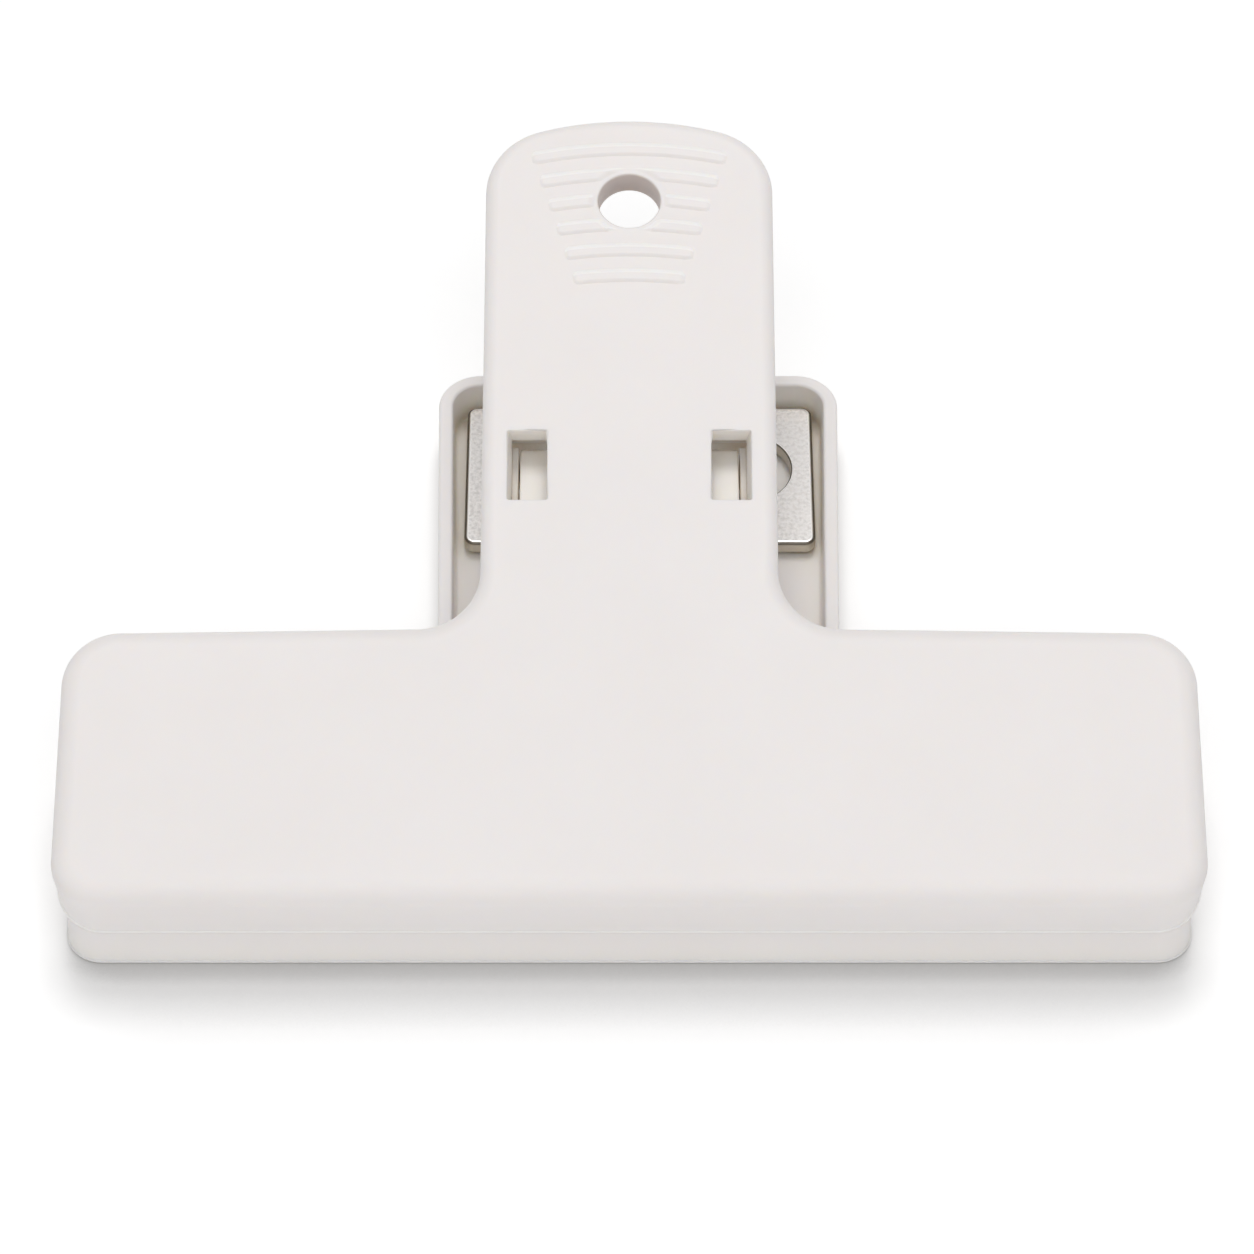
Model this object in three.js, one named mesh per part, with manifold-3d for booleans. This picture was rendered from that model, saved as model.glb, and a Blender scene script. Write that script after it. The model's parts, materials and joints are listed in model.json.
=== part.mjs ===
// Magnetic clip: a wide sprung paper clip with a magnet plate in its rear tray.
// Millimetres. The origin lies on the flat back face, straight below the hinge pin.
// +X runs along the jaws, +Y from the jaws to the handles, +Z from the back face to the front.

import * as THREE from 'three';
import { mergeVertices } from 'three/addons/utils/BufferGeometryUtils.js';
import Module from 'manifold-3d';

const wasm = await Module();
wasm.setup();

// Hinge
const pinRadius = 1.25;
const pinRecess = 0.3;
const pinChamfer = 0.3;
const pinClearance = 0.3;
const boreSides = 24;

// Front moulding, measured from the hinge axis in its own frame, which leans back by its tilt
const frontTilt = 13;
const frontUnderside = 4.5;
const frontPlate = 1.9;
const frontWall = 1.8;
const jawHalfWidth = 50.8;
const jawFront = 43.2;
const jawBack = 16;
const jawBackFall = 0.85;
const jawFrontCorner = 4.3;
const jawBackCorner = 5.2;
const jawEdgeRound = 2;
const neckRound = 5.8;
const handleHalfWidth = 13.48;
const handleLength = 37.7;
const handleEndRadius = 31;
const handleCorner = 7;
const handleEdgeRound = 1.3;
const edgeRoundChange = 8;
const skirtAtJaw = 7.5;
const skirtAtHandleEnd = 3.1;

// Hanging hole and the boss that deepens it
const hangHoleMargin = 9.4;
const hangHoleRadius = 2.9;
const hangHoleDepth = 3;
const hangBossWall = 1.6;
const hangRing = 0.6;

// Grip ribs: raised arcs, each shorter than the one nearer the end
const ribCount = 6;
const ribEndMargin = 3.94;
const ribPitch = 2.77;
const ribArcRadius = 40;
const ribWidth = 1.2;
const ribHeight = 0.25;
const ribSideMargin = 4.25;
const ribShortening = 0.79;

// Windows over the hinge, with a drafted outer side
const windowMargin = 2.33;
const windowWidth = 3.65;
const windowDraft = 0.35;
const windowHalfLength = 3.6;

// Ears
const frontEarInset = 0.3;
const frontEarWall = 1.65;
const frontEarFlare = 1.6;
const earGap = 0.75;
const thrustBossRadius = 3.1;
const thrustGap = 0.3;
const rearEarThickness = 2.85;
const rearEarHalfLength = 3.6;
const rearEarClearance = 1.5;
const rearEarFoot = 4.4;
const rearEarRound = 0.6;

// Short walls that hang behind the rear ears and tie the front plate to its sides
const gussetGap = 0.32;
const gussetThickness = 1.2;
const gussetDrop = 5.5;
const gussetReach = 0.2;

// Rear moulding
const rearJawSideInset = 0.4;
const rearJawBackInset = 0.4;
const rearJawCorner = 3.4;
const rearJawHeight = 4.2;
const rearJawLean = 0.4;
const jawSeatGap = 0.3;
const trayShift = 0.86;
const trayLength = 24.15;
const trayEndHalfWidth = 19.3;
const trayTaper = 1.2;
const trayCorner = 4;
const trayHeight = 6.1;
const trayRampLength = 5;
const rearNeckRound = 4;
const rearWall = 1.35;
const rearDraft = 0.12;
const rearFloor = 1.8;
const rearFloorRound = 0.3;
const rearBaseEdge = 0.35;
const rearRimEdge = 0.35;

// Magnet plate, the shallow pocket it lies in and the pad that bonds it to the pocket's floor
const pocketDepth = 0.92;
const pocketGap = 0.3;
const pocketStepAt = 8.2;
const magnetGap = 0.43;
const magnetSideGap = 1.13;
const magnetEarGap = 1;
const magnetThickness = 1.5;
const magnetCorner = 1;
const magnetEdge = 0.4;
const magnetShift = 0.15;
const magnetHoleRadius = 4.2;
const magnetHoleMargin = 2.15;
const magnetHoleOffset = 0.8;
const padThickness = 0.3;
const padHoleGap = 1.05;
const padMargin = 1.5;

// Torsion spring
const wireDiameter = 1.2;
const coilSlack = 0.75;
const coilEndGap = 1.8;
const coilTurns = 6;
const stepsPerTurn = 8;
const wireSides = 5;
const frontLegReach = 10;
const rearLegInset = 3.7;
const legHook = 2.6;
const legBend = 1.3;
const springGap = 0.3;

// Places that follow from the sizes
const rad = THREE.MathUtils.degToRad;
const tilt = rad(frontTilt);
const frontTop = frontUnderside + frontPlate;
const rimAtJaw = frontTop - skirtAtJaw;
const hingeHeight = rearJawHeight + jawSeatGap + jawFront * Math.sin(tilt) - rimAtJaw * Math.cos(tilt);
const boreRadius = pinRadius + pinClearance;
const windowOuter = handleHalfWidth - windowMargin;
const windowInner = windowOuter - windowWidth;
const frontEarInner = windowOuter - windowDraft;
const frontEarOuter = handleHalfWidth - frontEarInset;
const rearEarOuter = frontEarInner - earGap;
const rearEarInner = rearEarOuter - rearEarThickness;
const rearEarRise = frontUnderside - rearEarClearance;

// Closed solids

function toSolid(geometry) {
  const bare = geometry.clone();
  bare.deleteAttribute('normal');
  bare.deleteAttribute('uv');
  const merged = mergeVertices(bare);
  return new wasm.Manifold(new wasm.Mesh({
    numProp: 3,
    vertProperties: new Float32Array(merged.attributes.position.array),
    triVerts: new Uint32Array(merged.index.array),
  }));
}

function toGeometry(solid) {
  const mesh = solid.getMesh();
  const geometry = new THREE.BufferGeometry();
  geometry.setAttribute('position', new THREE.BufferAttribute(mesh.vertProperties, 3));
  geometry.setIndex(new THREE.BufferAttribute(mesh.triVerts, 1));
  geometry.computeVertexNormals();
  return geometry;
}

// A closed outline through corners, each [x, y, radius, steps], counter-clockwise and drawn in by an inset
function roundedOutline(corners, inset = 0) {
  const points = [];
  corners.forEach(([x, y, radius, steps], i) => {
    const [px, py] = corners.at(i - 1);
    const [nx, ny] = corners[(i + 1) % corners.length];
    const before = new THREE.Vector2(x - px, y - py).normalize();
    const after = new THREE.Vector2(nx - x, ny - y).normalize();
    const leftBefore = new THREE.Vector2(-before.y, before.x);
    const leftAfter = new THREE.Vector2(-after.y, after.x);
    const turn = Math.atan2(before.cross(after), before.dot(after));
    const side = Math.sign(turn);
    const arc = radius - side * inset;
    const corner = new THREE.Vector2(x, y)
      .add(leftBefore.clone().add(leftAfter).multiplyScalar(inset / (1 + leftBefore.dot(leftAfter))));
    const start = corner.clone().addScaledVector(before, -arc * Math.tan(Math.abs(turn) / 2));
    const centre = start.clone().addScaledVector(leftBefore, side * arc);
    for (let k = 0; k <= steps; k++) {
      const point = start.clone().rotateAround(centre, turn * k / steps);
      const last = points.at(-1);
      if (!last || last.distanceTo(point) > 1e-4) points.push(point);
    }
  });
  return points;
}

// Skins a stack of equal loops of [x, y, z] points and closes it at both ends
function skin(loops) {
  const count = loops[0].length;
  const triangles = [];
  for (let row = 0; row < loops.length - 1; row++) {
    for (let i = 0; i < count; i++) {
      const a = row * count + i;
      const b = row * count + (i + 1) % count;
      triangles.push(a, b, b + count, a, b + count, a + count);
    }
  }
  const cap = (loop) => {
    const outline = loop.map(([x, y]) => new THREE.Vector2(x, y));
    return THREE.ShapeUtils.triangulateShape(outline, []);
  };
  const lastRow = (loops.length - 1) * count;
  cap(loops[0]).forEach(([a, b, c]) => triangles.push(a, c, b));
  cap(loops.at(-1)).forEach(([a, b, c]) => triangles.push(lastRow + a, lastRow + b, lastRow + c));
  const geometry = new THREE.BufferGeometry();
  geometry.setAttribute('position', new THREE.Float32BufferAttribute(loops.flat(2), 3));
  geometry.setIndex(triangles);
  return geometry;
}

// A plate cut from an outline in the YZ plane, standing between two places on X
function crossPlate(outline, fromX, toX) {
  const geometry = new THREE.ExtrudeGeometry(new THREE.Shape(outline), {
    depth: toX - fromX,
    bevelEnabled: false,
  });
  const axes = [new THREE.Vector3(0, 1, 0), new THREE.Vector3(0, 0, 1), new THREE.Vector3(1, 0, 0)];
  geometry.applyMatrix4(new THREE.Matrix4().makeBasis(...axes));
  return toSolid(geometry.translate(fromX, 0, 0));
}

// A round bar along X between two places, at a height
function crossBar(radius, fromX, toX, z) {
  const geometry = new THREE.CylinderGeometry(radius, radius, toX - fromX, boreSides);
  return toSolid(geometry.rotateZ(Math.PI / 2).translate((fromX + toX) / 2, 0, z));
}

// A round bar along Z
function uprightBar(radius, x, y, lowZ, highZ) {
  const geometry = new THREE.CylinderGeometry(radius, radius, highZ - lowZ, 2 * boreSides);
  return toSolid(geometry.rotateX(Math.PI / 2).translate(x, y, (lowZ + highZ) / 2));
}

// Front moulding

function frontCorners() {
  const lean = Math.asin((handleHalfWidth - handleCorner) / (handleEndRadius - handleCorner));
  const apex = handleLength + handleEndRadius * (1 / Math.cos(lean) - 1);
  const shoulder = apex - handleHalfWidth * Math.tan(lean);
  const backEnd = jawBack + (jawHalfWidth - handleHalfWidth) * Math.tan(rad(jawBackFall));
  const right = [
    [jawHalfWidth, -jawFront, jawFrontCorner, 6],
    [jawHalfWidth, -backEnd, jawBackCorner, 6],
    [handleHalfWidth, -jawBack, neckRound, 7],
    [handleHalfWidth, shoulder, handleCorner, 6],
  ];
  const left = right.map(([x, ...rest]) => [-x, ...rest]).reverse();
  return [...right, [0, apex, handleEndRadius, 6], ...left];
}

function skirtDepth(y) {
  const share = (y + jawFront) / (jawFront + handleLength);
  return skirtAtJaw + (skirtAtHandleEnd - skirtAtJaw) * share;
}

function edgeRound(y) {
  const share = THREE.MathUtils.smoothstep(y, -jawBack, -jawBack + edgeRoundChange);
  return THREE.MathUtils.lerp(jawEdgeRound, handleEdgeRound, share);
}

function frontShell() {
  const outer = roundedOutline(frontCorners());
  const inner = roundedOutline(frontCorners(), frontWall);
  const loop = (inset, height) => outer.map((point, i) => {
    const { x, y } = point.clone().lerp(inner[i], inset(point.y) / frontWall);
    return [x, y, height(point.y)];
  });
  const none = () => 0;
  const wall = () => frontWall;
  const rim = (y) => frontTop - skirtDepth(y);
  const roundSteps = 5;
  const rounded = Array.from({ length: roundSteps + 1 }, (_, k) => {
    const angle = Math.PI / 2 * k / roundSteps;
    return loop(
      (y) => edgeRound(y) * (1 - Math.cos(angle)),
      (y) => frontTop - edgeRound(y) * (1 - Math.sin(angle)),
    );
  });
  return toSolid(skin([loop(wall, () => frontUnderside), loop(wall, rim), loop(none, rim), ...rounded]));
}

// One grip rib: a low band along an arc, with round ends and a softened top
function gripRib(index) {
  const at = handleLength - ribEndMargin - index * ribPitch;
  const softening = ribHeight;
  const halfLength = handleHalfWidth - ribSideMargin - index * ribShortening - softening;
  const halfAngle = Math.asin(halfLength / ribArcRadius);
  const half = ribWidth / 2 - softening;
  const shape = new THREE.Shape();
  const centreY = at - ribArcRadius;
  const upright = Math.PI / 2;
  shape.absarc(0, centreY, ribArcRadius + half, upright - halfAngle, upright + halfAngle, false);
  shape.absarc(0, centreY, ribArcRadius - half, upright + halfAngle, upright - halfAngle, true);
  const geometry = new THREE.ExtrudeGeometry(shape, {
    depth: frontPlate / 2,
    bevelThickness: ribHeight,
    bevelSize: softening,
    bevelSegments: 2,
    curveSegments: 12,
  });
  return toSolid(geometry.translate(0, 0, frontTop - frontPlate / 2));
}

function frontEar(side) {
  const radius = boreRadius + frontEarWall;
  const flare = radius + frontEarFlare;
  const rootHeight = frontUnderside + frontPlate / 2;
  const outline = roundedOutline([
    [-radius, -radius, radius, 6],
    [radius, -radius, radius, 6],
    [flare, rootHeight, 0, 1],
    [-flare, rootHeight, 0, 1],
  ]);
  const inner = side * frontEarInner;
  const outer = side * frontEarOuter;
  const ear = crossPlate(outline, Math.min(inner, outer), Math.max(inner, outer));
  const face = side * (rearEarOuter + thrustGap);
  const root = (inner + outer) / 2;
  return ear.add(crossBar(thrustBossRadius, Math.min(face, root), Math.max(face, root), 0));
}

// The rear ear's top corner swings past the gusset with a small gap
function gusset(side) {
  const near = Math.hypot(rearEarHalfLength, rearEarRise) + gussetGap;
  const far = near + gussetThickness;
  const low = frontUnderside - gussetDrop;
  const high = frontUnderside + frontPlate / 2;
  const outline = [[near, low], [far, low], [far, high], [near, high]].map(([y, z]) => new THREE.Vector2(y, z));
  const inner = side * (windowInner - gussetReach);
  const outer = side * (handleHalfWidth - frontWall / 2);
  return crossPlate(outline, Math.min(inner, outer), Math.max(inner, outer));
}

function windowCutter(side) {
  const shape = new THREE.Shape([
    new THREE.Vector2(windowInner, frontUnderside - 1),
    new THREE.Vector2(windowOuter - windowDraft, frontUnderside - 1),
    new THREE.Vector2(windowOuter - windowDraft, frontUnderside),
    new THREE.Vector2(windowOuter, frontTop),
    new THREE.Vector2(windowOuter, frontTop + 1),
    new THREE.Vector2(windowInner, frontTop + 1),
  ]);
  const geometry = new THREE.ExtrudeGeometry(shape, { depth: 2 * windowHalfLength, bevelEnabled: false });
  geometry.rotateX(Math.PI / 2).translate(0, windowHalfLength, 0);
  return side > 0 ? toSolid(geometry) : toSolid(geometry).mirror([1, 0, 0]);
}

function frontJaw() {
  const hangHoleAt = handleLength - hangHoleMargin;
  const holeLow = frontTop - hangHoleDepth;
  const ribFree = uprightBar(hangHoleRadius + hangRing, 0, hangHoleAt, frontTop, frontTop + 1);
  const bossRadius = hangHoleRadius + hangBossWall;
  const boss = uprightBar(bossRadius, 0, hangHoleAt, holeLow, frontUnderside + frontPlate / 2);
  const hole = uprightBar(hangHoleRadius, 0, hangHoleAt, holeLow - 1, frontTop + 1);
  let body = frontShell().add(boss);
  for (let index = 0; index < ribCount; index++) {
    body = body.add(gripRib(index).subtract(ribFree));
  }
  for (const side of [-1, 1]) {
    body = body.add(frontEar(side)).add(gusset(side)).subtract(windowCutter(side));
  }
  return body.subtract(hole).subtract(crossBar(boreRadius, -jawHalfWidth, jawHalfWidth, 0));
}

// Rear moulding

const rearJawBack = jawBack * Math.cos(tilt) - rearJawBackInset;
const trayFloor = rearFloor + pocketDepth;

function trayHalfWidth(y) {
  return trayEndHalfWidth - (trayLength - y) * Math.tan(rad(trayTaper));
}

function rearCorners() {
  const front = -jawFront * Math.cos(tilt) - rimAtJaw * Math.sin(tilt);
  const rearJawHalfWidth = jawHalfWidth - rearJawSideInset;
  const neck = trayHalfWidth(-rearJawBack);
  return [
    [rearJawHalfWidth, front, rearJawCorner, 6],
    [rearJawHalfWidth, -rearJawBack, rearJawCorner, 6],
    [trayShift + neck, -rearJawBack, rearNeckRound, 6],
    [trayShift + trayEndHalfWidth, trayLength, trayCorner, 7],
    [trayShift - trayEndHalfWidth, trayLength, trayCorner, 7],
    [trayShift - neck, -rearJawBack, rearNeckRound, 6],
    [-rearJawHalfWidth, -rearJawBack, rearJawCorner, 6],
    [-rearJawHalfWidth, front, rearJawCorner, 6],
  ];
}

// From 0 on the jaw to 1 on the tray
function trayShare(y) {
  return THREE.MathUtils.smoothstep(y, -rearJawBack, -rearJawBack + trayRampLength);
}

function rearRim(y) {
  return THREE.MathUtils.lerp(rearJawHeight, trayHeight, trayShare(y));
}

// The jaw's walls lean inwards towards their rim, and the tray's walls stand upright
function rimInset(y) {
  return rearJawLean * (1 - trayShare(y));
}

function rearShell() {
  const outer = roundedOutline(rearCorners());
  const inner = roundedOutline(rearCorners(), rearWall);
  const loop = (inset, height) => outer.map((point, i) => {
    const { x, y } = point.clone().lerp(inner[i], inset(point.y) / rearWall);
    return [x, y, height(point.y)];
  });
  const wallLoop = (inset, height) => loop((y) => rimInset(y) + inset, height);
  const edge = rearRimEdge;
  const floorInset = rearWall + rearDraft;
  const roundSteps = 3;
  const floorRound = Array.from({ length: roundSteps + 1 }, (_, k) => {
    const angle = Math.PI / 2 * k / roundSteps;
    return wallLoop(
      floorInset + rearFloorRound * (1 - Math.cos(angle)),
      () => rearFloor + rearFloorRound * (1 - Math.sin(angle)),
    );
  });
  return toSolid(skin([
    loop(() => rearBaseEdge, () => 0),
    loop(() => 0, () => rearBaseEdge),
    wallLoop(0, (y) => rearRim(y) - edge),
    wallLoop(edge, rearRim),
    wallLoop(rearWall - edge / 2, rearRim),
    wallLoop(rearWall, (y) => rearRim(y) - edge / 2),
    ...floorRound,
  ]));
}

// The thicker floor of the tray, which the magnet's pocket is sunk into
function thickFloor() {
  const near = trayHalfWidth(-pocketStepAt);
  const inset = rearWall / 2;
  const outline = roundedOutline([
    [trayShift + near, -pocketStepAt - inset, inset, 1],
    [trayShift + trayEndHalfWidth, trayLength, trayCorner, 7],
    [trayShift - trayEndHalfWidth, trayLength, trayCorner, 7],
    [trayShift - near, -pocketStepAt - inset, inset, 1],
  ], inset);
  const loop = (z) => outline.map(({ x, y }) => [x, y, z]);
  return toSolid(skin([loop(rearFloor / 2), loop(trayFloor)]));
}

function rearEar(side) {
  const root = rearFloor / 2;
  const top = hingeHeight + rearEarRise;
  const outline = roundedOutline([
    [-rearEarHalfLength - rearEarFoot, root, 0, 1],
    [rearEarHalfLength, root, 0, 1],
    [rearEarHalfLength, top, rearEarRound, 3],
    [-rearEarHalfLength, top, rearEarRound, 3],
    [-rearEarHalfLength, hingeHeight, 0, 1],
  ]);
  const places = [side * rearEarInner, side * rearEarOuter].sort((a, b) => a - b);
  return crossPlate(outline, ...places);
}

function rearJaw() {
  const bore = crossBar(boreRadius, -trayEndHalfWidth, trayEndHalfWidth, hingeHeight);
  const floor = rearShell().add(thickFloor()).subtract(pocketCutter());
  return floor.add(rearEar(-1)).add(rearEar(1)).subtract(bore);
}

// Hinge pin

function hingePin() {
  const half = frontEarOuter - pinRecess;
  const profile = [
    [0, -half],
    [pinRadius - pinChamfer, -half],
    [pinRadius, pinChamfer - half],
    [pinRadius, half - pinChamfer],
    [pinRadius - pinChamfer, half],
    [0, half],
  ];
  const geometry = new THREE.LatheGeometry(profile.map(([x, y]) => new THREE.Vector2(x, y)), boreSides);
  return toSolid(geometry.rotateZ(Math.PI / 2).translate(0, 0, hingeHeight));
}

// Magnet plate

const padTop = rearFloor + padThickness;
const magnetTop = padTop + magnetThickness;
const magnetFar = trayLength - rearWall - rearDraft - magnetGap;
const magnetNear = rearEarHalfLength + magnetEarGap;
const magnetLength = magnetFar - magnetNear;
const magnetHalfWidth = trayEndHalfWidth - rearWall - rearDraft - magnetSideGap;
const magnetCentreX = trayShift + magnetShift;
const magnetCentreY = (magnetFar + magnetNear) / 2;
const magnetHoleAt = magnetHalfWidth - magnetHoleMargin - magnetHoleRadius;

// A level loop round the magnet's outline, drawn in by an inset
function magnetLoop(inset, z) {
  const halfX = magnetHalfWidth;
  const halfY = magnetLength / 2;
  const corners = [[halfX, -halfY], [halfX, halfY], [-halfX, halfY], [-halfX, -halfY]];
  const rounded = corners.map(([x, y]) => [magnetCentreX + x, magnetCentreY + y, magnetCorner, 4]);
  return roundedOutline(rounded, inset).map(({ x, y }) => [x, y, z]);
}

function pocketCutter() {
  return toSolid(skin([magnetLoop(-pocketGap, rearFloor), magnetLoop(-pocketGap, trayHeight)]));
}

function magnetPlate() {
  const edge = magnetEdge;
  const soft = edge * (1 - Math.SQRT1_2);
  let plate = toSolid(skin([
    magnetLoop(edge, padTop),
    magnetLoop(0, padTop + edge),
    magnetLoop(0, magnetTop - edge),
    magnetLoop(soft, magnetTop - soft),
    magnetLoop(edge, magnetTop),
  ]));
  for (const side of [-1, 1]) {
    const x = magnetCentreX + side * magnetHoleAt;
    const y = magnetCentreY + magnetHoleOffset;
    plate = plate.subtract(uprightBar(magnetHoleRadius, x, y, 0, 2 * magnetTop));
  }
  return plate;
}

function adhesivePad() {
  const width = 2 * (magnetHoleAt - magnetHoleRadius - padHoleGap);
  const length = magnetLength - 2 * padMargin;
  const geometry = new THREE.BoxGeometry(width, length, padThickness);
  return toSolid(geometry.translate(magnetCentreX, magnetCentreY, rearFloor + padThickness / 2));
}

// Torsion spring, wound about the pin with both legs reaching towards the handles

const coilRadius = pinRadius + coilSlack + wireDiameter / 2;

function legPoints(end, corner, side) {
  const distance = corner.length();
  const tangentAngle = corner.angle() + side * Math.acos(coilRadius / distance);
  const tangent = new THREE.Vector2(coilRadius, 0).rotateAround(new THREE.Vector2(), tangentAngle);
  const along = corner.clone().sub(tangent).normalize();
  const out = end.clone().sub(corner).normalize();
  const turn = Math.atan2(along.cross(out), along.dot(out));
  const start = corner.clone().addScaledVector(along, -legBend * Math.tan(Math.abs(turn) / 2));
  const left = new THREE.Vector2(-along.y, along.x);
  const centre = start.clone().addScaledVector(left, Math.sign(turn) * legBend);
  const points = [];
  const bendSteps = 4;
  for (let k = 0; k <= bendSteps; k++) {
    points.push(start.clone().rotateAround(centre, turn * k / bendSteps));
  }
  return { tangentAngle, points: [...points, end] };
}

function springPath() {
  const origin = new THREE.Vector2();
  const frontHeight = frontUnderside - springGap;
  const frontEnd = new THREE.Vector2(frontLegReach, frontHeight).rotateAround(origin, tilt);
  const frontCorner = new THREE.Vector2(frontLegReach, frontHeight - legHook).rotateAround(origin, tilt);
  const frontLeg = legPoints(frontEnd, frontCorner, 1);
  const rearEnd = new THREE.Vector2(magnetNear + rearLegInset, magnetTop + springGap - hingeHeight);
  const rearLeg = legPoints(rearEnd, new THREE.Vector2(rearEnd.x, rearEnd.y + legHook), -1);
  const fullTurns = 2 * Math.PI * coilTurns;
  const wrap = (angle) => (angle > Math.PI ? angle - 2 * Math.PI : angle);
  const startAngle = wrap(rearLeg.tangentAngle % (2 * Math.PI));
  const sweep = startAngle - wrap(frontLeg.tangentAngle % (2 * Math.PI)) + fullTurns;
  const turns = sweep / (2 * Math.PI);
  const halfCoil = rearEarInner - coilEndGap - wireDiameter / 2;
  const place = (x, point) => new THREE.Vector3(x, point.x, hingeHeight + point.y);
  const steps = Math.ceil(turns * stepsPerTurn);
  const coil = Array.from({ length: steps + 1 }, (_, k) => {
    const angle = startAngle - sweep * k / steps;
    const point = new THREE.Vector2(coilRadius * Math.cos(angle), coilRadius * Math.sin(angle));
    return place(halfCoil * (2 * k / steps - 1), point);
  });
  const rearPoints = rearLeg.points.map((point) => place(-halfCoil, point)).reverse();
  const frontPoints = frontLeg.points.map((point) => place(halfCoil, point));
  return [...rearPoints, ...coil, ...frontPoints];
}

// A closed tube along points, its section carried along without twisting
function tube(points, radius, sides) {
  const loops = [];
  const first = points[1].clone().sub(points[0]).normalize();
  let tangent = first;
  const normal = new THREE.Vector3(1, 0, 0).projectOnPlane(first).normalize();
  points.forEach((point, i) => {
    const before = i > 0 ? point.clone().sub(points[i - 1]).normalize() : first;
    const after = i < points.length - 1 ? points[i + 1].clone().sub(point).normalize() : before;
    const next = before.clone().add(after).normalize();
    normal.applyQuaternion(new THREE.Quaternion().setFromUnitVectors(tangent, next));
    tangent = next;
    loops.push(Array.from({ length: sides }, (_, k) => {
      const spoke = normal.clone().applyAxisAngle(tangent, 2 * Math.PI * k / sides);
      return point.clone().addScaledVector(spoke, radius);
    }));
  });
  const positions = loops.flat().flatMap((corner) => corner.toArray());
  const triangles = [];
  for (let row = 0; row < loops.length - 1; row++) {
    for (let k = 0; k < sides; k++) {
      const a = row * sides + k;
      const b = row * sides + (k + 1) % sides;
      triangles.push(a, b, b + sides, a, b + sides, a + sides);
    }
  }
  const lastRow = (loops.length - 1) * sides;
  for (let k = 1; k < sides - 1; k++) {
    triangles.push(0, k + 1, k, lastRow, lastRow + k, lastRow + k + 1);
  }
  const geometry = new THREE.BufferGeometry();
  geometry.setAttribute('position', new THREE.Float32BufferAttribute(positions, 3));
  geometry.setIndex(triangles);
  return geometry;
}

// The least clear distance between stretches of wire that lie at least half a turn apart along it
function leastGap(points) {
  const halfTurn = Math.PI * coilRadius;
  let least = Infinity;
  for (let i = 0; i < points.length; i++) {
    let along = 0;
    for (let j = i + 1; j < points.length; j++) {
      along += points[j].distanceTo(points[j - 1]);
      if (along > halfTurn) least = Math.min(least, points[i].distanceTo(points[j]));
    }
  }
  return least - wireDiameter;
}

function torsionSpring() {
  const points = springPath();
  console.log(`least gap of the spring to itself: ${leastGap(points).toFixed(2)} mm`);
  return toSolid(tube(points, wireDiameter / 2, wireSides));
}

// Assembly

const whitePlastic = { color: 0xece8e6, roughness: 0.5, metalness: 0 };
const plating = { color: 0xcfccc8, roughness: 0.3, metalness: 1 };
const steel = { color: 0xb9b9ba, roughness: 0.35, metalness: 1 };
const foam = { color: 0xd8d4c8, roughness: 0.9, metalness: 0 };

function piece(name, solid, look) {
  const mesh = new THREE.Mesh(toGeometry(solid), new THREE.MeshStandardMaterial(look));
  mesh.name = name;
  return mesh;
}

const frontMoulding = piece('front_jaw', frontJaw(), whitePlastic);
frontMoulding.rotation.x = tilt;
frontMoulding.position.z = hingeHeight;

const clip = new THREE.Group();
clip.add(
  piece('rear_jaw', rearJaw(), whitePlastic),
  frontMoulding,
  piece('hinge_pin', hingePin(), steel),
  piece('torsion_spring', torsionSpring(), steel),
  piece('magnet', magnetPlate(), plating),
  piece('adhesive_pad', adhesivePad(), foam),
);

export default clip;
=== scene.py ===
"""The looks of a magnetic clip: a wide sprung paper clip with a magnet plate in its rear tray.

Metres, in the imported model's own frame: +X along the jaws, +Y from the jaws to the handles, +Z up.
"""
import json
import math

import bmesh
import bpy
from mathutils import Matrix, Vector


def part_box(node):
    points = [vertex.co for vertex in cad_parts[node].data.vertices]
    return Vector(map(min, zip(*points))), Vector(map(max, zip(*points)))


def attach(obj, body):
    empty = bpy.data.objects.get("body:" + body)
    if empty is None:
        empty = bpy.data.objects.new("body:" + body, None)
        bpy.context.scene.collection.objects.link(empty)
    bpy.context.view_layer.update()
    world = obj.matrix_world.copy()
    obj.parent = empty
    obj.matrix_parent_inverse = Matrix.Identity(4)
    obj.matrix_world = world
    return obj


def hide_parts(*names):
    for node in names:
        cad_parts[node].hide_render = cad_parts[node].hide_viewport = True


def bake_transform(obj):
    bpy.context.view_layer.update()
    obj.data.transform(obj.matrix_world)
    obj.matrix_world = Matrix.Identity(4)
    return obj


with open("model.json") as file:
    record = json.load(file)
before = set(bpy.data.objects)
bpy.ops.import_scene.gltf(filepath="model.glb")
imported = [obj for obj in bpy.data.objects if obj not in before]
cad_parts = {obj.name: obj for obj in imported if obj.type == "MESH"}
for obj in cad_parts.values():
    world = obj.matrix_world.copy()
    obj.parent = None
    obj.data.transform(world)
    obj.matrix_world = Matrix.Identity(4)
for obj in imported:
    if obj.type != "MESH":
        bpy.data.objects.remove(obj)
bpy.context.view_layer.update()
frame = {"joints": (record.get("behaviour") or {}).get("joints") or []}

MM = 0.001
QUARTER_TURN = math.pi / 2
FULL_TURN = 2 * math.pi
ALONG_X = Matrix.Rotation(QUARTER_TURN, 4, "Y")

# What the frame gives: the hinge and the corners of each node
HINGE = Vector(frame["joints"][0]["pos_m"])
FRONT_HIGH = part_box("front_jaw")[1]
REAR_LOW, REAR_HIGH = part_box("rear_jaw")
MAGNET_LOW, MAGNET_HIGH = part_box("magnet")
PAD_LOW, PAD_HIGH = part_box("adhesive_pad")
PIN_LOW, PIN_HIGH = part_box("hinge_pin")

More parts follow.
